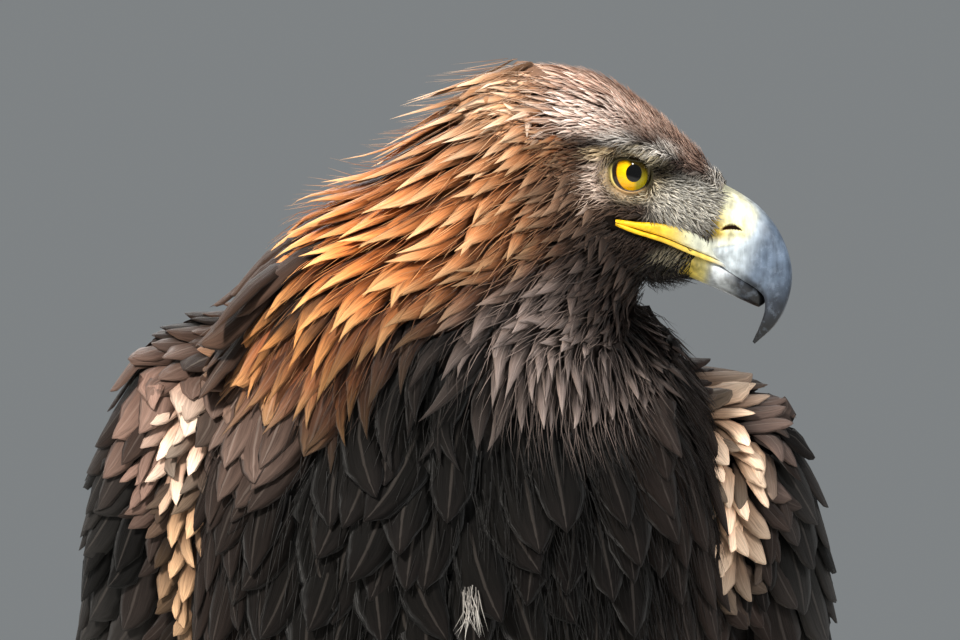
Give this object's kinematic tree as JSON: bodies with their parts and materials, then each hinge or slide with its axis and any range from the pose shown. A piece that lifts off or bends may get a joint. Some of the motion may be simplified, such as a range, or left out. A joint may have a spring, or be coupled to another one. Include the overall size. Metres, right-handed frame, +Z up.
{
  "type": "golden eagle",
  "caption": "Life-size golden eagle that stands with folded wings, feathered legs and its head turned to its left, as a still museum model.",
  "frame": {"origin": "on the floor, under the middle of the bird", "axes": "+Z up, the bird faces -Y, and its left side is towards +X"},
  "size_m": [0.279, 0.432, 0.6592],
  "materials": {
    "body": "feathers, matte, very dark brown with paler shafts",
    "hackle": "long pointed golden-brown feathers with pale tips and a soft sheen",
    "head": "short brown feathers, whitish over the eye and on the lores",
    "wing": "dark brown feathers with pale edges and a soft sheen",
    "leg": "dense brown feathers, matte",
    "bill": "horn, pale blue-grey to black at the tip, with a waxy yellow cere",
    "foot": "scaled yellow skin",
    "claw": "polished black horn",
    "eye": "wet gloss, golden iris with a black pupil"
  },
  "bodies": {
    "root": {"torso": "body", "neck": "hackle", "head": "head", "bill_upper": "bill", "bill_lower": "bill", "tail": "wing", "eye_right": "eye", "wing_right": "wing", "thigh_right": "leg", "shank_right": "leg", "foot_right": "foot", "talon_inner_right": "claw", "talon_middle_right": "claw", "talon_outer_right": "claw", "talon_hind_right": "claw", "eye_left": "eye", "wing_left": "wing", "thigh_left": "leg", "shank_left": "leg", "foot_left": "foot", "talon_inner_left": "claw", "talon_middle_left": "claw", "talon_outer_left": "claw", "talon_hind_left": "claw"}
  },
  "joints": []
}
